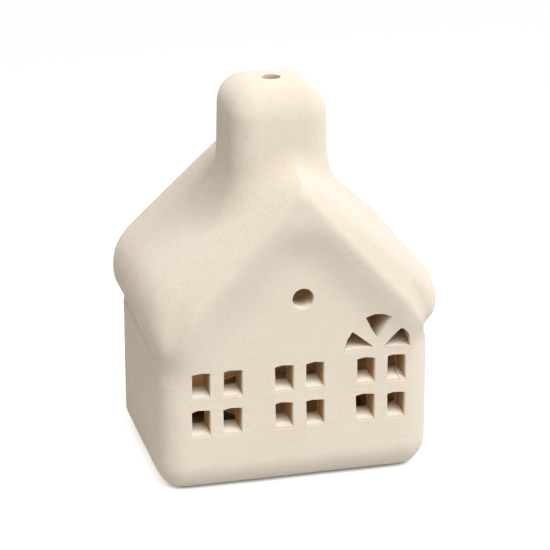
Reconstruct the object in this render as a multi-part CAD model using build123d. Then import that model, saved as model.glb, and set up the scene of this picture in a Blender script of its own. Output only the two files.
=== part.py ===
from build123d import *
import math
import os

os.makedirs("parts", exist_ok=True)

# Tealight house: a one-piece bisque-fired pottery house that stands over a tealight candle.
# Millimetres, +Z up. The origin is on the table, under the middle of the house.
# -Y is the gable front with the windows, +X is to the right seen from the front.

# Driving dimensions of the tealight, a standard size that the house is made round
cup_base_diameter = 36.8
cup_top_diameter = 37.8
cup_height = 16.0
cup_skin = 0.3
cup_corner_bevel = 1.0
rim_width = 0.7
rim_thickness = 0.6
wax_clearance = 0.3
wax_depth = 12.4
wax_corner_bevel = 0.9
wick_diameter = 1.6
wick_rise = 7.5
wick_tip_bevel = 0.3
sustainer_diameter = 12.5
sustainer_thickness = 0.3
neck_height = 3.0
neck_skin = 0.3
core_clearance = 0.05

# Driving dimensions of the house; its depth follows from the tealight that stands in its mouth
overall_width = 85.0
overall_height = 120.0
wall = 8.0
corner_radius = 9.2
base_radius = 8.0
inner_corner_radius = 4.0
tealight_clearance = 2.4
foot_width = 2.2
foot_edge_bevel = 0.6
mouth_radius = 6.0

# Driving dimensions of the roof
eave_overhang = 1.4
gable_overhang = 2.8
roof_slope = 42.8
ridge_height = 96.3
ridge_radius = 10.0
eave_radius = 14.0
eave_drop = 10.6
band_thickness = 9.6
band_valley_radius = 4.0
roll_radius = 4.4
crease_radius = 5.0
eave_bury = 1.0
eave_tip_radius = 2.0

# Driving dimensions of the chimney
chimney_width = 29.3
chimney_depth = 29.8
chimney_front = 25.5
chimney_offset = -2.4
chimney_radius = 9.2
chimney_blend_radius = 7.0
flue_radius = 3.5
vent_diameter = 5.5

# Driving dimensions of the windows
window_count = 3
window_margin = 8.65
window_offset = 0.6
window_height = 28.1
pane_width = 5.6
pane_height = 7.8
pane_pitch_across = 9.5
pane_pitch_up = 11.8

# Driving dimensions of the arched light over the right-hand window
fan_radius = 9.8
fan_offset = -1.2
fan_gap = 3.9
fan_middle_rise = 3.0
fan_middle_spread = 64.0
fan_side_gap = 2.1
fan_side_spread = 43.0

# The round hole high in the gable
gable_hole_diameter = 6.2
gable_hole_offset = 1.6
gable_hole_height = 58.5

# One overrun serves every cut that has to pass right through a wall
overrun = 1.0

# Values worked out from the driving dimensions
half_width = overall_width / 2
body_half_width = half_width - eave_overhang
mouth_half_width = body_half_width - base_radius - foot_width
mouth_half_depth = cup_top_diameter / 2 + rim_width + tealight_clearance
body_half_depth = mouth_half_depth + foot_width + base_radius
half_depth = body_half_depth + gable_overhang
slope = math.radians(roof_slope)
ridge_point = ridge_height + ridge_radius * (1 / math.cos(slope) - 1)
eave_point = ridge_point - half_width * math.tan(slope)
eave_height = eave_point - eave_radius * (1 - math.sin(slope)) / math.cos(slope)
eave_tuck_radius = (eave_drop ** 2 + eave_overhang ** 2) / (2 * eave_overhang)
tuck_turn = math.acos(1 - (eave_overhang + eave_bury) / eave_tuck_radius)
chimney_middle = -chimney_front + chimney_depth / 2
window_width = pane_pitch_across + pane_width
window_pitch = (2 * (body_half_width - window_margin) - window_width) / (window_count - 1)
window_top = window_height + pane_pitch_up / 2 + pane_height / 2


def along_depth(outline, depth, middle=0.0):
    """Extrude an outline drawn in X and Z along Y, by depth, about a middle plane."""
    return extrude(Plane.XZ.offset(-middle - depth / 2) * outline, amount=depth)


def tuck_point(turn):
    """A point on the arc under the eave, a turn below the eave's widest line."""
    return (half_width - eave_tuck_radius * (1 - math.cos(turn)),
            eave_height - eave_tuck_radius * math.sin(turn))


def roof_lump():
    """The roof: a thick chevron with drooping, pillow-like eaves and rolled gable edges."""
    bend = math.pi / 4 - slope / 2
    eave_centre = half_width - eave_radius
    slope_end = (eave_centre + eave_radius * math.sin(slope),
                 eave_height + eave_radius * math.cos(slope))
    eave_middle = (eave_centre + eave_radius * math.cos(bend),
                   eave_height + eave_radius * math.sin(bend))
    ridge = (0, ridge_point)
    valley = (0, ridge_point - band_thickness / math.cos(slope))
    with BuildSketch() as outline:
        with BuildLine():
            Line(ridge, slope_end)
            ThreePointArc(slope_end, eave_middle, tuck_point(0))
            ThreePointArc(tuck_point(0), tuck_point(tuck_turn / 2), tuck_point(tuck_turn))
            Line(tuck_point(tuck_turn), valley)
            mirror(about=Plane.YZ)
        make_face()
        fillet(outline.vertices().sort_by(Axis.Y)[-1], ridge_radius)
        fillet(outline.vertices().sort_by(Axis.Y)[:2], eave_tip_radius)
        on_middle = outline.vertices().filter_by_position(Axis.X, -overrun, overrun)
        fillet(on_middle.sort_by(Axis.Y)[0], band_valley_radius)
    roof = along_depth(outline.sketch, 2 * half_depth)
    return fillet(roof.faces().filter_by(Axis.Y).edges(), roll_radius)


def walls_lump():
    """The walls and gables as one pentagonal block, with its top hidden in the roof."""
    gable_top = ridge_point - band_thickness / 2 / math.cos(slope)
    shoulder = gable_top - body_half_width * math.tan(slope)
    with BuildSketch() as outline:
        with BuildLine():
            Polyline((0, gable_top), (body_half_width, shoulder), (body_half_width, 0), (0, 0))
            mirror(about=Plane.YZ)
        make_face()
    walls = along_depth(outline.sketch, 2 * body_half_depth)
    walls = fillet(walls.edges().filter_by(Axis.Z), corner_radius)
    return fillet(walls.faces().sort_by(Axis.Z)[0].edges(), base_radius)


def rounded_post(width, depth, bottom, top, radius, middle):
    """An upright block with rounded upright edges and a rounded top."""
    post = Pos(*middle, bottom) * Box(width, depth, top - bottom,
                                      align=(Align.CENTER, Align.CENTER, Align.MIN))
    return fillet(post.edges().filter_by(Axis.Z) + post.faces().sort_by(Axis.Z)[-1].edges(), radius)


def outside():
    """The outer form: walls, roof and chimney grown into each other as in a plaster mould."""
    roof = roof_lump()
    walls = walls_lump()
    house = roof + walls
    creases = new_edges(roof, walls, combined=house)
    house = fillet(creases, crease_radius)
    chimney = rounded_post(chimney_width, chimney_depth, eave_height, overall_height,
                           chimney_radius, (chimney_offset, chimney_middle))
    blended = house + chimney
    joints = new_edges(house, chimney, combined=blended)
    return fillet(joints, chimney_blend_radius)


def inside():
    """The hollow: a room under an inner gable, with a flue above it and a mouth below it."""
    room_half_width = body_half_width - wall
    room_half_depth = body_half_depth - wall
    room_top = ridge_point - wall / math.cos(slope)
    shoulder = room_top - room_half_width * math.tan(slope)
    with BuildSketch() as outline:
        with BuildLine():
            Polyline((0, room_top), (room_half_width, shoulder), (room_half_width, wall), (0, wall))
            mirror(about=Plane.YZ)
        make_face()
    room = along_depth(outline.sketch, 2 * room_half_depth)
    room = fillet(room.edges().filter_by(Axis.Z), inner_corner_radius)
    mouth_outline = RectangleRounded(2 * mouth_half_width, 2 * mouth_half_depth, mouth_radius)
    mouth = extrude(Pos(0, 0, -overrun) * mouth_outline, amount=wall + 2 * overrun)
    flue_outline = RectangleRounded(chimney_width - 2 * wall, chimney_depth - 2 * wall, flue_radius)
    flue = extrude(Pos(chimney_offset, chimney_middle, shoulder) * flue_outline,
                   amount=overall_height - wall - shoulder)
    return room + flue + mouth


def through_front(outline):
    """A cutter that carries an outline in X and Z through the front wall."""
    depth = wall + gable_overhang + 2 * overrun
    return along_depth(outline, depth, -half_depth - overrun + depth / 2)


def panes():
    """The windows, each of two by two panes, as one cutter."""
    with BuildSketch() as outline:
        with Locations((window_offset, window_height)):
            with GridLocations(window_pitch, 0, window_count, 1):
                with GridLocations(pane_pitch_across, pane_pitch_up, 2, 2):
                    Rectangle(pane_width, pane_height)
    return through_front(outline.sketch)


def fan_wedge(tip, direction, spread):
    """One opening of the arched light: a wedge from its tip, cut off by the arch."""
    half = math.radians(spread / 2)
    turn = math.radians(direction)
    reach = 2 * fan_radius
    far = [(tip[0] + reach * math.cos(turn + side * half),
            tip[1] + reach * math.sin(turn + side * half)) for side in (-1, 1)]
    return Polygon(tip, *far, align=None) & Circle(fan_radius)


def fan_light():
    """The arched light: a middle wedge with one wedge on each side of it."""
    side = fan_side_spread / 2
    wedges = [fan_wedge((0, fan_middle_rise), 90, fan_middle_spread),
              fan_wedge((fan_side_gap, 0), side, fan_side_spread),
              fan_wedge((-fan_side_gap, 0), 180 - side, fan_side_spread)]
    last_window = window_offset + window_pitch * (window_count - 1) / 2
    place = Pos(last_window + fan_offset, window_top + fan_gap)
    return [through_front(place * wedge) for wedge in wedges]


def round_holes():
    """The round hole in the gable and the vent in the top of the chimney."""
    gable_hole = through_front(Pos(gable_hole_offset, gable_hole_height)
                               * Circle(gable_hole_diameter / 2))
    vent = Pos(chimney_offset, chimney_middle, overall_height - wall - overrun) * Cylinder(
        vent_diameter / 2, wall + 2 * overrun, align=(Align.CENTER, Align.CENTER, Align.MIN))
    return [gable_hole, vent]


def house_shell():
    """The pottery house, one piece of fired clay, with a mouth in its base for the tealight."""
    shell = outside() - inside()
    shell -= panes()
    for cutter in fan_light() + round_holes():
        shell -= cutter
    foot = shell.faces().sort_by(Axis.Z)[0]
    return chamfer(foot.inner_wires()[0].edges(), foot_edge_bevel)


def turned(points):
    """A solid of revolution from an outline of radius and height."""
    return revolve(Plane.XZ * Polygon(*points, align=None), Axis.Z)


def cup_bore(height):
    """The inner radius of the cup at a height above the table."""
    share = height / cup_height
    return cup_base_diameter / 2 + share * (cup_top_diameter - cup_base_diameter) / 2 - cup_skin


def tealight_cup():
    """The drawn aluminium cup with its rolled rim."""
    base = cup_base_diameter / 2
    top = cup_top_diameter / 2
    rim = top + rim_width
    under_rim = cup_height - rim_thickness
    floor = cup_bore(cup_corner_bevel) - cup_corner_bevel + cup_skin
    return turned([(0, 0), (base - cup_corner_bevel, 0), (base, cup_corner_bevel),
                   (top, under_rim), (rim, under_rim), (rim, cup_height),
                   (cup_bore(cup_height), cup_height),
                   (cup_bore(cup_corner_bevel), cup_corner_bevel), (floor, cup_skin),
                   (0, cup_skin)])


def wick_sustainer():
    """The thin steel disc that the wick stands on, with the neck that grips the wick."""
    bore = wick_diameter / 2 + core_clearance
    neck = bore + neck_skin
    disc = sustainer_diameter / 2
    plate_top = cup_skin + sustainer_thickness
    return turned([(0, cup_skin), (disc, cup_skin), (disc, plate_top), (neck, plate_top),
                   (neck, plate_top + neck_height), (bore, plate_top + neck_height),
                   (bore, plate_top), (0, plate_top)])


def wick():
    """The cotton wick, from the disc up through the wax."""
    foot = cup_skin + sustainer_thickness
    tip = cup_skin + wax_depth + wick_rise
    cord = Pos(0, 0, foot) * Cylinder(wick_diameter / 2, tip - foot,
                                      align=(Align.CENTER, Align.CENTER, Align.MIN))
    return chamfer(cord.edges().group_by(Axis.Z)[-1], wick_tip_bevel)


def tealight_wax():
    """The wax, cast round the wick and the disc, loose in the cup."""
    top = cup_skin + wax_depth
    bore = wick_diameter / 2 + core_clearance
    neck = bore + neck_skin + core_clearance
    disc = sustainer_diameter / 2 + core_clearance
    disc_roof = cup_skin + sustainer_thickness + core_clearance
    neck_roof = cup_skin + sustainer_thickness + neck_height + core_clearance
    corner = cup_skin + wax_corner_bevel
    side = cup_bore(corner) - wax_clearance
    return turned([(disc, cup_skin), (side - wax_corner_bevel, cup_skin), (side, corner),
                   (cup_bore(top) - wax_clearance, top), (bore, top), (bore, neck_roof),
                   (neck, neck_roof), (neck, disc_roof), (disc, disc_roof)])


nodes = {
    "house_shell": house_shell(),
    "tealight_cup": tealight_cup(),
    "tealight_wax": tealight_wax(),
    "wick_sustainer": wick_sustainer(),
    "wick": wick(),
}
for name, shape in nodes.items():
    export_step(shape, f"parts/{name}.step")
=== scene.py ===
# %% [markdown]
# # A pottery tealight house
# The object is a small house of bisque-fired clay, 120 mm high, that stands over a tealight.
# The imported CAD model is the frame: it fixes the size, the pieces and what moves with what.
# Everything below is the looks, built in the same place and at the same size, and measured in
# millimetres until it is written into a mesh, because a potter's sizes read best that way.

# %% Load the frame
import math
import random

import bmesh
import bpy
import numpy as np
from mathutils import Matrix, Vector, noise


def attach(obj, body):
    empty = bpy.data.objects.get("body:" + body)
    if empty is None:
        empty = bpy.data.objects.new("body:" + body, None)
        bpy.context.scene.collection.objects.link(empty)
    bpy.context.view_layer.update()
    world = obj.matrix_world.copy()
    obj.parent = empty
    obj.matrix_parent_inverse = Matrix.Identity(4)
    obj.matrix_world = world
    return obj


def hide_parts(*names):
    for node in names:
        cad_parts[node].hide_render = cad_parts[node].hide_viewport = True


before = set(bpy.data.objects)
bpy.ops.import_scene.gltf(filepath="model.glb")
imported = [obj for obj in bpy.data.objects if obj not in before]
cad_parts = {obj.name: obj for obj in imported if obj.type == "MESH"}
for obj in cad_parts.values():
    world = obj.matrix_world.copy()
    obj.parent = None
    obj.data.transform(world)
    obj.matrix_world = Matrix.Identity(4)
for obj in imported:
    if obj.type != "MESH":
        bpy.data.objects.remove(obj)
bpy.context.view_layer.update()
MM = 0.001

# %% [markdown]
# ## The camera
# The photograph was taken from a little to the left and above with a long lens. A camera that is
# fitted to the corners of the panes, the two round holes and the outline gives these numbers, so
# the render can be laid over the photograph. The alternative is to turn a camera by eye, which is
# never good enough to judge a curve by.

# %% Place the camera
AZIMUTH, ELEVATION, ROLL = (math.radians(a) for a in (-13.83, 19.91, -0.15))
DISTANCE, FOCAL_PIXELS, IMAGE_PIXELS = 773.8, 2560.0, 550
SHIFT_RIGHT, SHIFT_UP = -1.04, 0.16
AIM = Vector((0, 0, 55))

back = Vector((math.sin(AZIMUTH) * math.cos(ELEVATION),
               -math.cos(AZIMUTH) * math.cos(ELEVATION), math.sin(ELEVATION)))
level = Vector((math.cos(AZIMUTH), math.sin(AZIMUTH), 0))
upward = back.cross(level)
right = math.cos(ROLL) * level + math.sin(ROLL) * upward
up = math.cos(ROLL) * upward - math.sin(ROLL) * level

camera = bpy.data.objects.new("camera", bpy.data.cameras.new("camera"))
bpy.context.collection.objects.link(camera)
camera.data.sensor_width = 36
camera.data.lens = FOCAL_PIXELS / IMAGE_PIXELS * camera.data.sensor_width
place = (AIM + back * DISTANCE - right * SHIFT_RIGHT - up * SHIFT_UP) * MM
camera.matrix_world = Matrix.Translation(place) @ Matrix((right, up, back)).transposed().to_4x4()
bpy.context.scene.camera = camera
print("camera at, mm:", [round(v / MM) for v in place], "lens", round(camera.data.lens, 1))

# %% [markdown]
# ## Outlines with rounded corners
# Seen from the front, every form of the house is a short list of corners, each with its own
# radius: a tight one at a pane, a wide one at the ridge. One helper turns such a list into a
# closed outline. A bevel modifier could round the edges too, but it can't round a form that is
# later blended into another one.

# %% Round an outline
def rounded(corners, run=0.7):
    """A closed outline from (across, up, radius) corners, as points a short run apart."""
    outline = []
    for i, (x, z, radius) in enumerate(corners):
        corner = Vector((x, z))
        to_last = (Vector(corners[i - 1][:2]) - corner).normalized()
        to_next = (Vector(corners[(i + 1) % len(corners)][:2]) - corner).normalized()
        half = to_last.angle(to_next) / 2
        centre = corner + (to_last + to_next).normalized() * (radius / math.sin(half))
        start = corner + to_last * (radius / math.tan(half)) - centre
        sweep = (corner + to_next * (radius / math.tan(half)) - centre).angle_signed(start)
        steps = max(1, math.ceil(abs(sweep) * radius / run))
        for k in range(steps + 1):
            turn = Matrix.Rotation(sweep * k / steps, 2)
            outline.append(tuple(centre + turn @ start))
    return outline


RIDGE = 0.5
SLOPE = math.radians(42.8)
HALF_WIDTH, HALF_DEPTH = 43.6, 34.45
WALL_X, WALL_Y, WALL = 41.1, 32.2, 8.0
RIDGE_TOP = 99.9
VALLEY = RIDGE_TOP - 15.6


def under_slope(x, drop=0.0):
    """The height of the sharp roof line at x, or of a line that lies below it by a drop."""
    return RIDGE_TOP - drop - abs(x - RIDGE) * math.tan(SLOPE)


roof_outline = rounded([
    (RIDGE, RIDGE_TOP, 10.0), (HALF_WIDTH, under_slope(HALF_WIDTH) + 0.1, 12.0),
    (HALF_WIDTH + 0.2, 51.5, 9.0), (HALF_WIDTH - 2.7, 41.2, 5.2),
    (RIDGE, VALLEY + 1.0, 13.0),
    (-HALF_WIDTH + 3.3, 40.2, 4.2), (-HALF_WIDTH, 48.0, 9.0),
    (-HALF_WIDTH, under_slope(-HALF_WIDTH) + 0.5, 16.0)])
print("roof outline:", len(roof_outline), "points")

# %% [markdown]
# ## Forms as distances
# The house has no hard joint between walls, roof and chimney: the clay runs from one into the
# next. A fillet tool needs clean edges and gives one constant radius. A distance function has
# neither limit: it says how far a point lies outside a form, and two of them can be mixed so
# that the forms grow together. These few small functions are all that it takes.

# %% Distance helpers
def outline_distance(x, z, outline):
    """How far points lie outside a closed outline; inside it the distance is negative."""
    nearest = np.full(len(x), np.inf)
    inside = np.zeros(len(x), bool)
    for (ax, az), (bx, bz) in zip(outline, outline[1:] + outline[:1]):
        run_x, run_z = bx - ax, bz - az
        if run_x == run_z == 0:
            continue
        on_x, on_z = x - ax, z - az
        share = np.clip((on_x * run_x + on_z * run_z) / (run_x ** 2 + run_z ** 2), 0, 1)
        nearest = np.minimum(nearest, (on_x - run_x * share) ** 2 + (on_z - run_z * share) ** 2)
        if run_z:
            inside ^= ((az > z) != (bz > z)) & (on_x < run_x * on_z / run_z)
    return np.where(inside, -1, 1) * np.sqrt(nearest)


def shared(a, b, radius):
    """The distance to what two forms share, with the edge between them rounded."""
    return (np.hypot(np.maximum(a + radius, 0), np.maximum(b + radius, 0))
            + np.minimum(np.maximum(a, b) + radius, 0) - radius)


def grown(a, b, width):
    """The distance to two forms that have grown together, blended over a width."""
    near = np.maximum(width - np.abs(a - b), 0) / width
    return np.minimum(a, b) - near * near * width / 4


def post_distance(p, middle, half, upright, top):
    """The distance to an upright post with two radii: of its upright edges and of its top."""
    x, y, z = (p - middle).T
    plan = shared(np.abs(x) - half[0], np.abs(y) - half[1], upright)
    return shared(plan, np.abs(z) - half[2], top)


square = [(-5, -5), (5, -5), (5, 5), (-5, 5)]
print("3 mm beside a square, mm:", outline_distance(np.array([8.0]), np.zeros(1), square))

# %% [markdown]
# ## A softened outline
# A distance to an outline has ridges inside, where two sides are equally near, and they would show
# as hard lines on the roll. So the roof's distance is worked out once on a grid of half
# millimetres, softened there by averaging each place with its neighbours, and then only looked up.

# %% Soften the roof's outline
GRID_LOW, GRID_HIGH, GRID_STEP = (-60.0, 20.0), (60.0, 125.0), 0.5
AVERAGING_ROUNDS = 36
grid_x, grid_z = np.meshgrid(*(np.arange(low, high, GRID_STEP)
                               for low, high in zip(GRID_LOW, GRID_HIGH)), indexing="ij")
roof_grid = outline_distance(grid_x.ravel(), grid_z.ravel(), roof_outline).reshape(grid_x.shape)
for _ in range(AVERAGING_ROUNDS):
    for way in (roof_grid, roof_grid.T):
        way[1:-1] = (way[:-2] + 2 * way[1:-1] + way[2:]) / 4


def roof_distance(x, z):
    """How far points lie outside the roof's outline, looked up between the grid's places."""
    near_x, near_z = (np.clip((v - low) / GRID_STEP, 0, count - 1.001)
                      for v, low, count in zip((x, z), GRID_LOW, roof_grid.shape))
    i, k = near_x.astype(int), near_z.astype(int)
    beside, above = near_x - i, near_z - k
    return ((roof_grid[i, k] * (1 - beside) + roof_grid[i + 1, k] * beside) * (1 - above)
            + (roof_grid[i, k + 1] * (1 - beside) + roof_grid[i + 1, k + 1] * beside) * above)


print("roof grid:", roof_grid.shape, "places")

# %% [markdown]
# ## The outer form of the house
# Walls, roof and chimney, with the widths that they blend over: about 13 mm under the gable's
# roll, 5 mm under the eaves, and 9.6 mm round the foot of the chimney but 5 mm in front of it. The
# gable edges are rolled over like dough: a 7 mm rounding, which in front reaches further back over
# the roof than it goes down. The middle of the roll is softened, so that no line runs along it.
# A hand doesn't hold one radius from side to side, so a tanh moves each width slowly from one value
# to another: to the left and to the right, to the front and to the back.

# %% The outside as one distance
CHIMNEY = (-2.65, -10.6)
CHIMNEY_HALF = (14.4, 14.9)
CHIMNEY_LOW, TOP = 50, 120.0
CHIMNEY_EDGE, CHIMNEY_CROWN, CHIMNEY_BLEND = 7.2, 9.0, 7.4
ROLL, ROLL_WIDTH, CREASE, CORNER, FOOT = 7.0, 14, 8.2, 7.8, 8.2
SOFT_FROM, SOFT_BY, SOFT_SHIFT = 5.7, 3.5, 6.69
UNDER = math.atan2(VALLEY - 41.3, HALF_WIDTH - 4.0 - RIDGE)


def outside(p):
    """How far points lie outside the house, its holes not counted."""
    x, y, z = p.T
    below = (under_slope(x) - z) * math.cos(SLOPE)
    drawn_out = 1 - 0.2 * (1 - np.tanh(y / 10)) * np.clip(1 - below / ROLL_WIDTH, 0, 1)
    full = np.hypot(np.maximum(roof_distance(x, z) + SOFT_FROM, 0), SOFT_BY) - SOFT_SHIFT
    roof = shared(full, (np.abs(y) - HALF_DEPTH) * drawn_out, ROLL)
    plan = shared(np.abs(x - 0.2) - WALL_X, np.abs(y) - WALL_Y, CORNER + 0.8 * np.tanh(x / 10))
    gable = (z - VALLEY - 1.4) * math.cos(UNDER) + np.abs(x - RIDGE) * math.sin(UNDER)
    foot = FOOT + 0.6 * np.tanh(x / 20) - 1.4 * np.tanh((y + 26) / 4)
    walls = np.maximum(shared(plan, -z, foot), gable)
    eaves = 3.3 * np.tanh((np.abs(x) - 36) / 3)
    under = CREASE - eaves - 0.9 * np.tanh(x / 15) - 1.4 * np.tanh(y / 10)
    house = grown(roof, walls, under)
    middle = (*CHIMNEY, (TOP + CHIMNEY_LOW) / 2)
    tapered = p - np.array(middle)
    tapered[:, 0] *= 1 + (z - 108) / 900
    chimney = post_distance(tapered, 0.0, (*CHIMNEY_HALF, (TOP - CHIMNEY_LOW) / 2),
                            CHIMNEY_EDGE, CHIMNEY_CROWN)
    return grown(house, chimney, CHIMNEY_BLEND + 2.2 * np.tanh((y + 22) / 3))


print("distance at the aim point, mm:", outside(np.array([[0.0, 0.0, 55.0]])).round(1))

# %% [markdown]
# ## From a distance to a mesh
# Blender has no button that turns a distance into a mesh, so the house starts as rough blocks.
# A voxel remesh melts them into one even skin, and each vertex then walks down the slope of the
# distance until it is on the surface. Sculpting by hand would do it too, but these numbers can be
# changed and run again.

# %% Rough blocks
def slab(bm, outline, front, rear, flare=0.0, rise=0.0):
    """A solid from an outline in X and Z, drawn from front to rear, wider and higher there."""
    face = bm.faces.new([bm.verts.new((x * MM, front * MM, z * MM)) for x, z in outline])
    made = bmesh.ops.extrude_face_region(bm, geom=[face])["geom"]
    far = [v for v in made if isinstance(v, bmesh.types.BMVert)]
    bmesh.ops.translate(bm, verts=far, vec=(0, (rear - front) * MM, rise * MM))
    lows, highs = ([pick(v.co[k] for v in far) for k in (0, 1, 2)] for pick in (min, max))
    middle = (Vector(lows) + Vector(highs)) / 2
    grow = [1 + 2 * flare * MM / (highs[k] - lows[k]) for k in (0, 2)]
    bmesh.ops.scale(bm, verts=far, vec=(grow[0], 1, grow[1]), space=Matrix.Translation(-middle))


def block(bm, middle, half):
    """A plain block from its middle and half sizes."""
    size = Matrix.Diagonal((*(2 * h * MM for h in half), 1))
    at = Matrix.Translation(Vector(middle) * MM)
    bmesh.ops.create_cube(bm, size=1, matrix=at @ size)


def linked(name, bm):
    """Link what a bmesh holds as a new object, with its normals pointing outward."""
    bmesh.ops.recalc_face_normals(bm, faces=bm.faces)
    mesh = bpy.data.meshes.new(name)
    bm.to_mesh(mesh)
    bm.free()
    obj = bpy.data.objects.new(name, mesh)
    bpy.context.collection.objects.link(obj)
    return obj


rough = bmesh.new()
slab(rough, roof_outline, -HALF_DEPTH, HALF_DEPTH)
gable_outline = [(-WALL_X, 1.0), (WALL_X, 1.0), (WALL_X, under_slope(WALL_X, 12)),
                 (RIDGE, RIDGE_TOP - 12), (-WALL_X, under_slope(-WALL_X, 12))]
slab(rough, gable_outline, -WALL_Y, WALL_Y)
block(rough, (*CHIMNEY, 89.5), (CHIMNEY_HALF[0] - 1, CHIMNEY_HALF[1] - 1, 29.5))
house = linked("pottery_house", rough)
print("rough house:", len(house.data.polygons), "faces")

# %% [markdown]
# ## Reading and writing a mesh
# NumPy moves many vertices at once, so a mesh is read as one array in millimetres and written back
# the same way. A modifier's result replaces the mesh at once: what comes next needs real vertices,
# not a stack of modifiers that waits for the render.

# %% Mesh helpers
def coordinates(mesh):
    """The vertices of a mesh in millimetres."""
    flat = np.empty(len(mesh.vertices) * 3)
    mesh.vertices.foreach_get("co", flat)
    return flat.reshape(-1, 3) / MM


def write_coordinates(mesh, points):
    """Move the vertices of a mesh to points in millimetres."""
    mesh.vertices.foreach_set("co", (points * MM).ravel())
    mesh.update()


def with_modifier(obj, kind, **settings):
    """Add a modifier, give its result to the object as a new mesh and take it off again."""
    modifier = obj.modifiers.new(kind, kind)
    for name, value in settings.items():
        setattr(modifier, name, value)
    result = bpy.data.meshes.new_from_object(
        obj.evaluated_get(bpy.context.evaluated_depsgraph_get()))
    obj.modifiers.clear()
    obj.data = result
    return obj


def relax(obj, rounds):
    """Even out the mesh by moving each vertex towards the middle of its neighbours."""
    bm = bmesh.new()
    bm.from_mesh(obj.data)
    for _ in range(rounds):
        bmesh.ops.smooth_vert(bm, verts=bm.verts, factor=0.5, use_axis_x=True, use_axis_y=True,
                              use_axis_z=True)
    bm.to_mesh(obj.data)
    bm.free()


print("rough house, mm:", coordinates(house.data).min(0), coordinates(house.data).max(0))

# %% [markdown]
# ## Walking to the surface
# The distance tells each vertex how far to go, and its slope tells which way, so a few steps are
# enough. Between the steps the mesh is relaxed, which keeps its triangles even in the creases.

# %% Grow the outer form
def settle(points, distance, rounds, reach=0.05):
    """Walk points along the slope of a distance until they lie on its surface."""
    for _ in range(rounds):
        here = distance(points)
        slope = np.stack([distance(points + step) - here for step in np.eye(3) * reach], 1) / reach
        points = points - slope * (here / np.maximum((slope ** 2).sum(1), 0.3))[:, None]
    return points


def grow_form(obj, distance, voxel):
    """Melt the rough blocks in an object into one skin and settle it on a distance."""
    with_modifier(obj, "REMESH", mode="VOXEL", voxel_size=voxel * MM)
    relax(obj, 8)
    for rounds in (4, 2, 2):
        write_coordinates(obj.data, settle(coordinates(obj.data), distance, rounds))
        relax(obj, 1)
    write_coordinates(obj.data, settle(coordinates(obj.data), distance, 2))
    error = np.abs(distance(coordinates(obj.data)))
    print(obj.name, len(obj.data.vertices), "vertices, off its surface by at most",
          round(float(error.max()), 3), "mm")


grow_form(house, outside, 0.85)
size = coordinates(house.data)
print("outer form, mm:", size.min(0).round(2), size.max(0).round(2))

# %% [markdown]
# ## The hollow
# Slip is poured into a plaster mould and drained after a while, which leaves walls 8 mm thick,
# a room under an inner gable, a flue and an open mouth below. The hollow is grown in the same
# way as the outside, so its corners are as soft as drained slip leaves them.

# %% Grow the hollow
ROOM_X, ROOM_Y = WALL_X - WALL, WALL_Y - WALL
MOUTH_X, MOUTH_Y = 30.9, 22.0
ROOM_DROP = WALL / math.cos(SLOPE)
room_outline = rounded([
    (ROOM_X, WALL, 4.0), (ROOM_X, under_slope(ROOM_X, ROOM_DROP), 6.0),
    (0, RIDGE_TOP - ROOM_DROP, 6.0),
    (-ROOM_X, under_slope(-ROOM_X, ROOM_DROP), 6.0), (-ROOM_X, WALL, 4.0)])
FLUE_HALF = (CHIMNEY_HALF[0] - WALL, CHIMNEY_HALF[1] - WALL)


def hollow(p):
    """How far points lie outside the hollow."""
    x, y, z = p.T
    room = shared(outline_distance(x, z, room_outline), np.abs(y) - ROOM_Y, 4.0)
    plan = shared(np.abs(x) - MOUTH_X, np.abs(y) - MOUTH_Y, 6.0)
    mouth = np.maximum(plan, np.abs(z) - 14.0)
    flue = post_distance(p, (*CHIMNEY, 90.0), (*FLUE_HALF, TOP - WALL - 90.0), 3.5, 2.0)
    return grown(grown(room, mouth, 1.5), flue, 4.0)


rough = bmesh.new()
slab(rough, room_outline, -ROOM_Y, ROOM_Y)
block(rough, (0, 0, 0), (MOUTH_X, MOUTH_Y, 13.5))
block(rough, (*CHIMNEY, 90.0), (*FLUE_HALF, TOP - WALL - 90.0))
hollow_form = linked("hollow", rough)
grow_form(hollow_form, hollow, 1.2)

# %% [markdown]
# ## What the knife cut
# The panes, the three wedges of the arched light and the two round holes were cut into the
# leather-hard clay by hand, so no two are quite alike: their tops bow a little and climb to the
# right, and their sides are not quite upright. Each cut gets its own small errors from a seeded
# random source, so that the scene is the same on every run.

# %% Outlines of the cuts
hand = random.Random(7)


def off(amount):
    """A small error of the hand."""
    return hand.uniform(-amount, amount)


PANE_X, PANE_Z = 5.7, 7.9
WINDOWS_X, WINDOWS_Z = (-24.3, 0.6, 25.5), 28.1
TO_PANE_X, TO_PANE_Z = 4.75, 5.9
cuts = []
for window in WINDOWS_X:
    for side in (-TO_PANE_X, TO_PANE_X):
        for height in (WINDOWS_Z - TO_PANE_Z, WINDOWS_Z + TO_PANE_Z):
            x, z = window + side + off(0.12), height + off(0.12)
            low, high = z - PANE_Z / 2, z + PANE_Z / 2
            left, far = x - PANE_X / 2, x + PANE_X / 2
            cuts.append(rounded([
                (left + off(0.12), low + off(0.1), 0.08), (far + off(0.12), low + off(0.1), 0.08),
                (far + off(0.12), high - 0.05 + off(0.12), 0.15),
                (x - 0.7 + off(0.5), high + 0.3 + off(0.1), 2.5),
                (left + off(0.12), high - 0.2 + off(0.12), 0.1)], run=0.3))

WEDGES_Z = 40.0
cuts += [rounded(corners, run=0.3) for corners in (
    [(24.1, 43.6, 0.1), (27.8, 51.0, 0.2), (24.5, 52.6, 6.0), (20.3, 50.9, 0.2)],
    [(22.9, 41.2, 0.1), (16.5, 46.5, 0.4), (14.9, 44.0, 3.0), (13.6, 40.4, 0.1)],
    [(26.2, 41.1, 0.1), (34.1, 40.6, 0.2), (33.6, 45.0, 2.5), (31.2, 47.3, 0.8)])]
print(len(cuts), "cuts, the first with", len(cuts[0]), "points")

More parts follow.
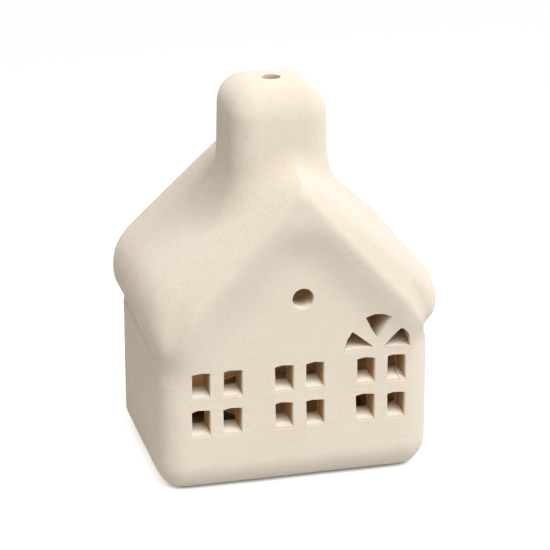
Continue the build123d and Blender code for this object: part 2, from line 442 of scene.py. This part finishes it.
# %% [markdown]
# ## Cutting
# A boolean takes the hollow and each cut out of the solid form, and leaves edges as sharp as the
# knife's. A bevel on such a mesh would trip over its long thin triangles. A second, shallow cut
# that widens towards the front takes the sharpness off instead, as a damp sponge does. It starts
# at the skin, which is found by stepping inward by the distance until that is nil.

# %% Prepare the cutting
def joined(obj, bm, operation):
    """Add what a bmesh holds to an object, or take it away."""
    tool = linked("tool", bm)
    with_modifier(obj, "BOOLEAN", object=tool, operation=operation, solver="MANIFOLD")
    bpy.data.objects.remove(tool)


def round_cut(bm, middle, low_radius, high_radius, length, turn):
    """A round bar for cutting, about its middle, turned from upright by a matrix."""
    bmesh.ops.create_cone(bm, cap_ends=True, segments=64, radius1=low_radius * MM,
                          radius2=high_radius * MM, depth=length * MM,
                          matrix=Matrix.Translation(Vector(middle) * MM) @ turn)


def skin_at(x, z):
    """How far back the front skin lies at a place on the gable."""
    y = -40.0
    for _ in range(20):
        y += float(outside(np.array([[x, y, z]]))[0])
    return y


with_modifier(house, "BOOLEAN", object=hollow_form, operation="DIFFERENCE", solver="MANIFOLD")
bpy.data.objects.remove(hollow_form)
print("hollow house:", len(house.data.vertices), "vertices")

# %% Cut the house
FACING_FRONT = Matrix.Rotation(math.pi / 2, 4, "X")
UPRIGHT = Matrix.Identity(4)
GABLE_HOLE, GABLE_RADIUS, VENT_RADIUS = (1.6, 58.5), 3.1, 2.75
WIPE_DEEP, WIPE_PROUD, WIPE_PANE, WIPE_WEDGE = 0.16, 1.6, 0.9, 0.6
knife, sponge_edge = bmesh.new(), bmesh.new()
for outline in cuts:
    slab(knife, outline, -WALL_Y - 5, -ROOM_Y + 2, flare=-0.3 + off(0.2), rise=1.2 + off(0.4))
    middle_x, middle_z = np.mean(outline, 0)
    front = skin_at(middle_x, middle_z)
    slab(sponge_edge, outline, front + WIPE_DEEP, front - WIPE_PROUD,
         flare=WIPE_PANE if middle_z < WEDGES_Z else WIPE_WEDGE)
hole_x, hole_z = GABLE_HOLE
round_cut(knife, (hole_x, -WALL_Y + 4, hole_z), GABLE_RADIUS, GABLE_RADIUS, 16, FACING_FRONT)
round_cut(knife, (*CHIMNEY, TOP - 4), VENT_RADIUS, VENT_RADIUS, 16, UPRIGHT)
round_cut(sponge_edge, (hole_x, -WALL_Y, hole_z), 2.7, 3.9, 1.2, FACING_FRONT)
round_cut(sponge_edge, (*CHIMNEY, TOP), 2.35, 3.55, 1.2, UPRIGHT)
joined(house, knife, "DIFFERENCE")
joined(house, sponge_edge, "DIFFERENCE")
print("after the cuts:", len(house.data.vertices), "vertices")

# %% [markdown]
# ## A slip and a crumb
# In the upper right pane the knife slipped and left a thin groove along the sill, and a crumb of
# clay stayed in the right wedge. Such traces tell the eye that a hand did this. They could be
# painted on, but real forms catch the light from every side.

# %% Leave the knife's traces
SLIP_AT, SLIP_HALF = (31.2, -28.6, 30.9), (0.09, 3.6, 0.7)
CRUMB_AT, CRUMB_RADIUS = (33.5, -29.4, 41.6), 0.6
slip, crumb = bmesh.new(), bmesh.new()
block(slip, SLIP_AT, SLIP_HALF)
bmesh.ops.create_icosphere(crumb, subdivisions=3, radius=CRUMB_RADIUS * MM,
                           matrix=Matrix.Translation(Vector(CRUMB_AT) * MM))
joined(house, slip, "DIFFERENCE")
joined(house, crumb, "UNION")
print("with the traces:", len(house.data.vertices), "vertices")

# %% [markdown]
# ## Handmade unevenness
# A pressed and sponged surface is never flat. Two sizes of smooth noise push the skin in and out
# by about a tenth of a millimetre, which is what makes light roll over it as it does over real
# clay. It fades out at the foot, which was rubbed flat on a board. How deep each vertex lies under
# the outer skin is kept as an attribute, which the clay's colour reads later to paint shade into
# the cuts and a warmer colour into the room.

# %% Press and sponge the skin
points = coordinates(house.data)
normals = np.array([v.normal for v in house.data.vertices])
push = np.array([0.16 * noise.noise(Vector(p) / 17) + 0.07 * noise.noise(Vector(p) / 6)
                 for p in points])
push *= np.clip(points[:, 2] / 6, 0, 1)
inside_of = -outside(points)
outer = inside_of < 0.3
write_coordinates(house.data, points + normals * (push * outer)[:, None])
depth = house.data.attributes.new("depth", "FLOAT", "POINT")
depth.data.foreach_set("value", np.clip(inside_of, 0, 12))
print("deepest vertex:", round(float(inside_of.max()), 1), "mm under the skin")

# %% [markdown]
# ## Soft skin, crisp cuts
# All faces are shaded smooth, but edges that turn by more than 30 degrees are marked sharp, so
# that the shading stays crisp at each cut. Flat shading would show every triangle, and smooth
# shading alone would smear a shadow over the knife's edges.

# %% Shade the house
SHARP = math.radians(30)
bm = bmesh.new()
bm.from_mesh(house.data)
for face in bm.faces:
    face.smooth = True
for edge in bm.edges:
    edge.smooth = edge.calc_face_angle(0) < SHARP
bm.to_mesh(house.data)
bm.free()
triangles = sum(len(polygon.vertices) - 2 for polygon in house.data.polygons)
size = coordinates(house.data)
print("house:", triangles, "triangles, mm", size.min(0).round(2), size.max(0).round(2))

# %% [markdown]
# ## Materials in code
# Each material is a small tree of nodes. One helper adds a node with its settings and its links,
# and another turns the colour names that a designer reads off a screen into linear light.

# %% Material helpers
def srgb(code):
    """A hex colour as linear light, with full opacity."""
    parts = [int(code[i:i + 2], 16) / 255 for i in (0, 2, 4)]
    return (*[c / 12.92 if c <= 0.04045 else ((c + 0.055) / 1.055) ** 2.4 for c in parts], 1)


def new_tree(name):
    """A new material, its tree and its principled shader."""
    material = bpy.data.materials.new(name)
    material.use_nodes = True
    return material, material.node_tree, material.node_tree.nodes["Principled BSDF"]


def add(tree, kind, output, inputs=None, **settings):
    """Add a node and give one of its outputs; its inputs are constants or other outputs."""
    node = tree.nodes.new(kind)
    for name, value in settings.items():
        setattr(node, name, value)
    for name, value in (inputs or {}).items():
        if isinstance(value, bpy.types.NodeSocket):
            tree.links.new(value, node.inputs[name])
        else:
            node.inputs[name].default_value = value
    return node.outputs[output]


def painted(obj, material):
    """Give an object its one material."""
    obj.data.materials.clear()
    obj.data.materials.append(material)


print("the clay's colour in linear light:", [round(c, 3) for c in srgb("E4D9CB")])

# %% [markdown]
# ## Bisque-fired clay
# Fired once and not glazed, the clay is a warm off-white, chalky and quite matte. A sponge and
# fine sanding left short strokes: level ones on the gable, sloping ones on the roof. The strokes
# are noise stretched along one direction, chosen by which way the skin faces. Real ones are about
# 0.3 mm wide; these are 0.8 mm, because finer ones vanish at this size.

# %% Make the clay's strokes
clay, tree, skin = new_tree("bisque")
spot = add(tree, "ShaderNodeTexCoord", "Object")
normal = add(tree, "ShaderNodeNewGeometry", "Normal")
facing_x = add(tree, "ShaderNodeSeparateXYZ", "X", {"Vector": normal})
facing_up = add(tree, "ShaderNodeSeparateXYZ", "Z", {"Vector": normal})
STROKE_WIDTH = 0.8
GABLE_STROKES = ((0, 2, 0), 9.0, 0.33)
LEFT_STROKES = ((0, 20, 105), 3.0, 0.0)
RIGHT_STROKES = ((0, 43, 0), 5.0, 0.2)
stroke_heights = []
for turn, along, faint in (GABLE_STROKES, LEFT_STROKES, RIGHT_STROKES):
    turned = add(tree, "ShaderNodeMapping", "Vector", {
        "Vector": spot, "Rotation": [math.radians(t) for t in turn],
        "Scale": (along * MM, STROKE_WIDTH * MM, STROKE_WIDTH * MM)}, vector_type="TEXTURE")
    ragged = add(tree, "ShaderNodeTexNoise", "Fac", {
        "Vector": turned, "Scale": 1.0, "Detail": 2.0, "Roughness": 0.6})
    stroke_heights.append(add(tree, "ShaderNodeMapRange", "Result", {
        "Value": ragged, "To Min": faint, "To Max": 1 - faint}))
strokes = stroke_heights[0]
for side, height in ((-1, stroke_heights[1]), (1, stroke_heights[2])):
    share = add(tree, "ShaderNodeMapRange", "Result", {
        "Value": facing_x, "From Min": 0.25 * side, "From Max": 0.6 * side})
    strokes = add(tree, "ShaderNodeMix", "Result", {"Factor": share, "A": strokes, "B": height})
print("strokes:", len(tree.nodes), "nodes")

# %% [markdown]
# ## The clay's colour
# Grog, which is fired clay ground to grit, gives a fine grain: its grit is about 0.3 mm, drawn here
# at 0.8 mm so that it shows. Slow clouds in the colour, 20 mm across, come from how the clay dried.
# The darker spots are mixed in by multiplying, so that they stay the clay's own hue.

# %% Make the clay's colour
grog = add(tree, "ShaderNodeTexNoise", "Fac", {
    "Vector": spot, "Scale": 1.2 / MM, "Detail": 3.0, "Roughness": 0.65})
sponge = add(tree, "ShaderNodeTexNoise", "Fac", {
    "Vector": spot, "Scale": 0.35 / MM, "Detail": 2.0})
clouds = add(tree, "ShaderNodeTexNoise", "Fac", {
    "Vector": spot, "Scale": 0.05 / MM, "Detail": 3.0})
colour = add(tree, "ShaderNodeMix", "Result", {
    "Factor": clouds, "A": srgb("E4D9CB"), "B": srgb("ECE2D5")}, data_type="RGBA")
for pattern, low, high, dark in ((strokes, 0.30, 0.60, "F9F7F4"), (grog, 0.30, 0.5, "FAF7F2")):
    share = add(tree, "ShaderNodeMapRange", "Result", {
        "Value": pattern, "From Min": high, "From Max": low})
    colour = add(tree, "ShaderNodeMix", "Result", {
        "Factor": share, "A": colour, "B": srgb(dark)}, data_type="RGBA", blend_type="MULTIPLY")
print("clay with its colour:", len(tree.nodes), "nodes")

# %% [markdown]
# ## Painted light and shade in the cuts
# Deep in a cut the light has bounced from clay to clay and lost its blue, so the depth under the
# outer skin paints that brown shade into the colour. The sills, which the daylight reaches, are
# painted paler than the clay instead, a painted highlight. The room behind the walls was never
# sanded and keeps its skin of slip; its colour is painted paler and warmer than the clay as well,
# so that the light that bounces in it turns warm. More light bounces could do this too, at a
# price in time and noise.

# %% Paint light and shade into the cuts and the room
depth = add(tree, "ShaderNodeAttribute", "Fac", attribute_name="depth")
deep = add(tree, "ShaderNodeMapRange", "Result", {"Value": depth, "From Min": 0.1, "From Max": 2.3})
sheltered = add(tree, "ShaderNodeMapRange", "Result", {
    "Value": facing_up, "From Min": 0.1, "From Max": 0.8, "To Min": 1.0, "To Max": 0.0})
# Painted light and shade: sills paler than the clay, sheltered faces of a cut a brown shade.
painted_cut_light_and_shade = add(tree, "ShaderNodeMix", "Result", {
    "Factor": sheltered, "A": srgb("F6EBDC"), "B": srgb("B98C50")}, data_type="RGBA")
colour = add(tree, "ShaderNodeMix", "Result", {
    "Factor": deep, "A": colour, "B": painted_cut_light_and_shade}, data_type="RGBA")
# Painted bounce light: the room's colour is paler and warmer than the clay.
in_the_room = add(tree, "ShaderNodeMapRange", "Result", {
    "Value": depth, "From Min": 6.5, "From Max": 7.8})
colour = add(tree, "ShaderNodeMix", "Result", {
    "Factor": in_the_room, "A": colour, "B": srgb("FBE6C4")}, data_type="RGBA")
tree.links.new(colour, skin.inputs["Base Color"])
print("clay with its cuts:", len(tree.nodes), "nodes")

# %% [markdown]
# ## The clay's surface
# Three bumps follow each other: the sponge's dabs and the strokes, 0.12 mm high, and the grog,
# 0.05 mm high. The skin is rough all over, with almost no shine, and a little sheen stands for the
# chalky dust that lightens its edges.

# %% Roughen the clay
surface = None
for height, rise, strength in ((sponge, 0.12, 0.5), (strokes, 0.12, 0.45), (grog, 0.05, 0.4)):
    below = {} if surface is None else {"Normal": surface}
    surface = add(tree, "ShaderNodeBump", "Normal", {
        "Height": height, "Distance": rise * MM, "Strength": strength, **below})
tree.links.new(surface, skin.inputs["Normal"])
for name, value in (("Roughness", 0.88), ("Specular IOR Level", 0.3), ("Diffuse Roughness", 0.6),
                    ("Sheen Weight", 0.12), ("Sheen Roughness", 0.6)):
    skin.inputs[name].default_value = value
painted(house, clay)
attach(house, "house")
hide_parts("house_shell")
print("clay:", len(tree.nodes), "nodes")

# %% [markdown]
# ## Turned pieces
# The tealight is four pieces, and three of them are turned. Each is a line of points beside the
# axis, spun once round.
# A screw modifier would do the same; the spin operator gives a closed mesh at once.

# %% Spin a profile
def spun(name, profile, segments=128):
    """A solid turned about the upright axis from a profile of radius and height in millimetres."""
    bm = bmesh.new()
    ring = [bm.verts.new((r * MM, 0, z * MM)) for r, z in profile]
    runs = [bm.edges.new(pair) for pair in zip(ring, ring[1:])]
    bmesh.ops.spin(bm, geom=ring + runs, cent=(0, 0, 0), axis=(0, 0, 1), angle=2 * math.pi,
                   steps=segments, use_merge=True)
    bmesh.ops.remove_doubles(bm, verts=bm.verts, dist=1e-6)
    obj = linked(name, bm)
    for polygon in obj.data.polygons:
        polygon.use_smooth = True
    return obj


print("each of 128 steps turns by", round(360 / 128, 1), "degrees")

# %% [markdown]
# ## The aluminium cup
# The cup is drawn from 0.3 mm sheet, with a rounded bottom corner and a rim that is rolled outward
# into a bead. A cylinder with a thickness modifier would need a second piece for that bead, and one
# spun profile holds both. Drawn aluminium is semi-bright: it mirrors its surroundings in soft
# streaks. Its upright lines are really a tenth of a millimetre wide and are drawn here at 0.7 mm,
# so that they show.

# %% Make the cup
def arc(middle_r, middle_z, radius, start, end, steps=8):
    """Points on an arc in a profile, between two angles in degrees."""
    angles = [math.radians(start + (end - start) * k / steps) for k in range(steps + 1)]
    return [(middle_r + radius * math.cos(a), middle_z + radius * math.sin(a)) for a in angles]


cup = spun("tealight_cup_metal", [
    (0.0, 0.35), (12.0, 0.35), (12.6, 0.02), (16.6, 0.02), (17.2, 0.05),
    *arc(17.4, 1.0, 1.0, -90, 0), (18.87, 15.35),
    *arc(19.2, 15.62, 0.34, -130, 90, 12), (18.65, 15.9),
    (18.1, 1.1), *arc(17.4, 1.05, 0.7, 0, -90), (12.6, 0.35), (12.1, 0.62), (0.0, 0.62)])
metal, tree, skin = new_tree("drawn_aluminium")
stretched = add(tree, "ShaderNodeMapping", "Vector", {
    "Vector": add(tree, "ShaderNodeTexCoord", "Object"), "Scale": (1.5 / MM, 1.5 / MM, 0.08 / MM)})
lines = add(tree, "ShaderNodeTexNoise", "Fac", {"Vector": stretched, "Scale": 1.0, "Detail": 3.0})
tree.links.new(add(tree, "ShaderNodeMix", "Result", {
    "Factor": lines, "A": srgb("C3C4C6"), "B": srgb("E0E1E3")}, data_type="RGBA"),
    skin.inputs["Base Color"])
tree.links.new(add(tree, "ShaderNodeBump", "Normal", {
    "Height": lines, "Distance": 0.02 * MM, "Strength": 0.5}), skin.inputs["Normal"])
skin.inputs["Metallic"].default_value = 1.0
skin.inputs["Roughness"].default_value = 0.32
painted(cup, metal)
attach(cup, "tealight")
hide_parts("tealight_cup")
print("cup:", len(cup.data.polygons), "faces")

# %% [markdown]
# ## The wax
# Cast paraffin is white and lets a little light in under its skin, so its shadows look soft. It
# climbs slightly towards the wick as it sets and is rounded at its rim. A plain disc would do for
# what the panes let through, but the candle can be lifted out, so the profile also goes round the
# bore that the wick stands in. The frost on it lies in patches of about 2.5 mm.

# %% Make the wax
wax = spun("tealight_wax_body", [
    (6.35, 0.65), (6.35, 0.7), (1.2, 0.7), (1.2, 3.7), (0.86, 3.7), (0.86, 12.65), (1.5, 12.5),
    (3.2, 12.28), (6.0, 12.22), (12.0, 12.3), (16.2, 12.45),
    *arc(17.0, 11.7, 0.75, 88, 0, 6), (17.33, 1.5), *arc(16.75, 1.24, 0.58, 0, -90, 5)]
    + [(6.35, 0.65)])
paraffin, tree, skin = new_tree("paraffin")
frost = add(tree, "ShaderNodeTexNoise", "Fac", {
    "Vector": add(tree, "ShaderNodeTexCoord", "Object"), "Scale": 0.4 / MM, "Detail": 4.0})
tree.links.new(add(tree, "ShaderNodeMix", "Result", {
    "Factor": frost, "A": srgb("EBE9E0"), "B": srgb("F8F6F1")}, data_type="RGBA"),
    skin.inputs["Base Color"])
tree.links.new(add(tree, "ShaderNodeBump", "Normal", {
    "Height": frost, "Distance": 0.05 * MM, "Strength": 0.4}), skin.inputs["Normal"])
for name, value in (("Roughness", 0.42), ("IOR", 1.43), ("Subsurface Weight", 0.35),
                    ("Subsurface Scale", 2 * MM)):
    skin.inputs[name].default_value = value
skin.inputs["Subsurface Radius"].default_value = (1.0, 0.9, 0.75)
painted(wax, paraffin)
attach(wax, "candle")
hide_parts("tealight_wax")
print("wax:", len(wax.data.polygons), "faces")

# %% [markdown]
# ## The sustainer
# A stamped disc of tinned steel holds the wick upright. Its neck is crimped round the wick, and
# a shallow ring pressed into the disc keeps it flat. It could be bent from a sheet in the mesh,
# but every form on it is round, so it is spun too. The tin gives a dull grey shine with crystals
# about 2 mm wide.

# %% Make the sustainer
holder = spun("wick_sustainer_steel", [
    (0.0, 0.63), (3.6, 0.63), (3.9, 0.66), (4.2, 0.63), (6.1, 0.63), (6.2, 0.66), (6.2, 0.87),
    (6.1, 0.9), (4.3, 0.9), (4.0, 0.93), (3.7, 0.9), (1.5, 0.9), (1.16, 1.2), (1.12, 3.5),
    (1.05, 3.58), (0.9, 3.58), (0.86, 3.5), (0.86, 0.9), (0.0, 0.9)], segments=64)
steel, tree, skin = new_tree("tinned_steel")
crystals = add(tree, "ShaderNodeTexVoronoi", "Distance", {
    "Vector": add(tree, "ShaderNodeTexCoord", "Object"), "Scale": 0.5 / MM})
tree.links.new(add(tree, "ShaderNodeMix", "Result", {
    "Factor": crystals, "A": srgb("A6A7A8"), "B": srgb("BDBEBF")}, data_type="RGBA"),
    skin.inputs["Base Color"])
skin.inputs["Metallic"].default_value = 1.0
skin.inputs["Roughness"].default_value = 0.38
painted(holder, steel)
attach(holder, "candle")
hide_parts("wick_sustainer")
print("sustainer:", len(holder.data.polygons), "faces")

# %% [markdown]
# ## The wick
# The wick is a cord of three cotton strands, waxed so that it stands. Three twisted tubes show
# the lay of the cord; one smooth tube would look like plastic. Waxed cotton is matt and slightly
# yellow. Its fibres are about 0.02 mm thick and are drawn at 0.25 mm, so that they show.

# %% Twist the wick
strand_lines = bpy.data.curves.new("strands", "CURVE")
strand_lines.dimensions = "3D"
strand_lines.bevel_depth = 0.42 * MM
strand_lines.bevel_resolution = 4
strand_lines.use_fill_caps = True
LOW, HIGH, LAY, COIL = 0.95, 20.0, 4.2, 0.37
for strand in range(3):
    spline = strand_lines.splines.new("POLY")
    steps = 90
    spline.points.add(steps)
    for k, point in enumerate(spline.points):
        height = LOW + (HIGH - LOW) * k / steps
        turn = 2 * math.pi * (height / LAY + strand / 3)
        point.co = (COIL * MM * math.cos(turn), COIL * MM * math.sin(turn), height * MM, 1)
strands = bpy.data.objects.new("strands", strand_lines)
wick = bpy.data.objects.new("wick_cotton", bpy.data.meshes.new_from_object(strands))
bpy.data.objects.remove(strands)
bpy.context.collection.objects.link(wick)
cotton, tree, skin = new_tree("waxed_cotton")
fibres = add(tree, "ShaderNodeTexNoise", "Fac", {
    "Vector": add(tree, "ShaderNodeTexCoord", "Object"), "Scale": 4.0 / MM, "Detail": 4.0})
tree.links.new(add(tree, "ShaderNodeMix", "Result", {
    "Factor": fibres, "A": srgb("D2CBB9"), "B": srgb("F6F3E8")}, data_type="RGBA"),
    skin.inputs["Base Color"])
tree.links.new(add(tree, "ShaderNodeBump", "Normal", {
    "Height": fibres, "Distance": 0.03 * MM, "Strength": 0.8}), skin.inputs["Normal"])
skin.inputs["Roughness"].default_value = 0.6
painted(wick, cotton)
for polygon in wick.data.polygons:
    polygon.use_smooth = True
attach(wick, "candle")
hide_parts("wick")
print("wick:", len(wick.data.polygons), "faces")

# %% [markdown]
# ## The floor
# The photograph shows the house on pure white, and a floor of plain white paint would look grey
# there. So a pale disc takes the shadow and glows a little for the camera, but not under the
# house, where an occlusion node finds it shut in. A brighter lamp would whiten the floor as well,
# but it would bleach the clay.

# %% Lay the floor
bm = bmesh.new()
bmesh.ops.create_circle(bm, cap_ends=True, segments=96, radius=1.6)
floor = linked("floor", bm)
board, tree, skin = new_tree("white_board")


def seen(shader_tree):
    """1 for what the camera sees, straight, in a reflection or through glass, and 0 otherwise."""
    total = add(shader_tree, "ShaderNodeLightPath", "Is Camera Ray")
    for name in ("Is Glossy Ray", "Is Transmission Ray"):
        ray = add(shader_tree, "ShaderNodeLightPath", name)
        total = add(shader_tree, "ShaderNodeMath", "Value", {0: total, 1: ray}, operation="MAXIMUM")
    return total


open_sky = add(tree, "ShaderNodeAmbientOcclusion", "AO", {"Distance": 0.1}, samples=8)
outdoors = add(tree, "ShaderNodeMapRange", "Result", {
    "Value": open_sky, "From Min": 0.05, "From Max": 0.3, "To Max": 0.72})
tree.links.new(add(tree, "ShaderNodeMath", "Value", {0: seen(tree), 1: outdoors},
                   operation="MULTIPLY"), skin.inputs["Emission Strength"])
middle = add(tree, "ShaderNodeTexCoord", "Object")
away = add(tree, "ShaderNodeVectorMath", "Value", {0: middle}, operation="LENGTH")
far_off = add(tree, "ShaderNodeMapRange", "Result", {
    "Value": away, "From Min": 0.12, "From Max": 0.35})
tree.links.new(add(tree, "ShaderNodeMix", "Result", {
    "Factor": far_off, "A": srgb("CCCCCC"), "B": srgb("959595")}, data_type="RGBA"),
    skin.inputs["Base Color"])
skin.inputs["Roughness"].default_value = 0.9
skin.inputs["Emission Color"].default_value = (1, 1, 1, 1)
painted(floor, board)
print("floor:", len(tree.nodes), "nodes")

# %% [markdown]
# ## The world
# The world is white to the camera and in reflections only. Where it lights the clay it is dimmer
# and warm, most so on the left, which was the dark side of the studio. A second lamp could give
# such a soft difference too, but not without a second shadow.

# %% Light the world
world = bpy.data.worlds.new("studio")
bpy.context.scene.world = world
world.use_nodes = True
tree = world.node_tree
tree.nodes.clear()
FROM_LEFT = [0.37 * c for c in (1.10, 1.0, 0.83)]
FROM_RIGHT = [0.54 * c for c in (1.04, 1.0, 0.94)]
direction = add(tree, "ShaderNodeTexCoord", "Generated")
side = add(tree, "ShaderNodeSeparateXYZ", "X", {"Vector": direction})
rightward = add(tree, "ShaderNodeMapRange", "Result", {"Value": side, "From Min": -1.0})
light = add(tree, "ShaderNodeMix", "Result", {
    "Factor": rightward, "A": (*FROM_LEFT, 1), "B": (*FROM_RIGHT, 1)}, data_type="RGBA")
glow = add(tree, "ShaderNodeMix", "Result", {
    "Factor": seen(tree), "A": light, "B": (1, 1, 1, 1)}, data_type="RGBA")
sky = add(tree, "ShaderNodeBackground", "Background", {"Color": glow, "Strength": 1.0})
tree.links.new(sky, tree.nodes.new("ShaderNodeOutputWorld").inputs["Surface"])
print("world light:", [round(c, 2) for c in FROM_LEFT + FROM_RIGHT])

# %% [markdown]
# ## One large lamp
# A single soft box hangs high in front and a little to the right. It brightens the ridge and the
# roof, leaves the left wall to the sky's light, and lays the chimney's soft shadow on the roof.

# %% Hang the soft box
SOFT_BOX_AT = Vector((0.15, -0.54, 0.83)) * 1.1 + AIM * MM
data = bpy.data.lights.new("soft_box", "AREA")
data.size = 0.7
data.energy = 11.9
data.color = (0.93, 0.965, 1.0)
lamp = bpy.data.objects.new("soft_box", data)
lamp.location = SOFT_BOX_AT
lamp.rotation_euler = (AIM * MM - SOFT_BOX_AT).to_track_quat("-Z", "Y").to_euler()
bpy.context.collection.objects.link(lamp)
bpy.context.scene.view_settings.view_transform = "Standard"
print("soft box at, m:", [round(v, 2) for v in SOFT_BOX_AT])

# %% [markdown]
# ## The light in the room
# Daylight that comes in through the panes bounces from clay to clay until it is warm and brown.
# A renderer gives up after a few bounces, so a very weak warm lamp stands in for the rest: it
# stands a little left of the wick, above the cup, and shines at the back wall. Without it the
# panes look like black stickers.

# %% Hang the room's lamp
data = bpy.data.lights.new("room_light", "AREA")
data.size = 14 * MM
data.energy = 0.0016
data.color = (1.0, 0.75, 0.45)
lamp = bpy.data.objects.new("room_light", data)
lamp.location = Vector((-10, 0, 22)) * MM
lamp.rotation_euler = (math.pi / 2, 0, 0)
lamp.visible_camera = False
bpy.context.collection.objects.link(lamp)
print("room light at, mm:", [round(v / MM) for v in lamp.location])
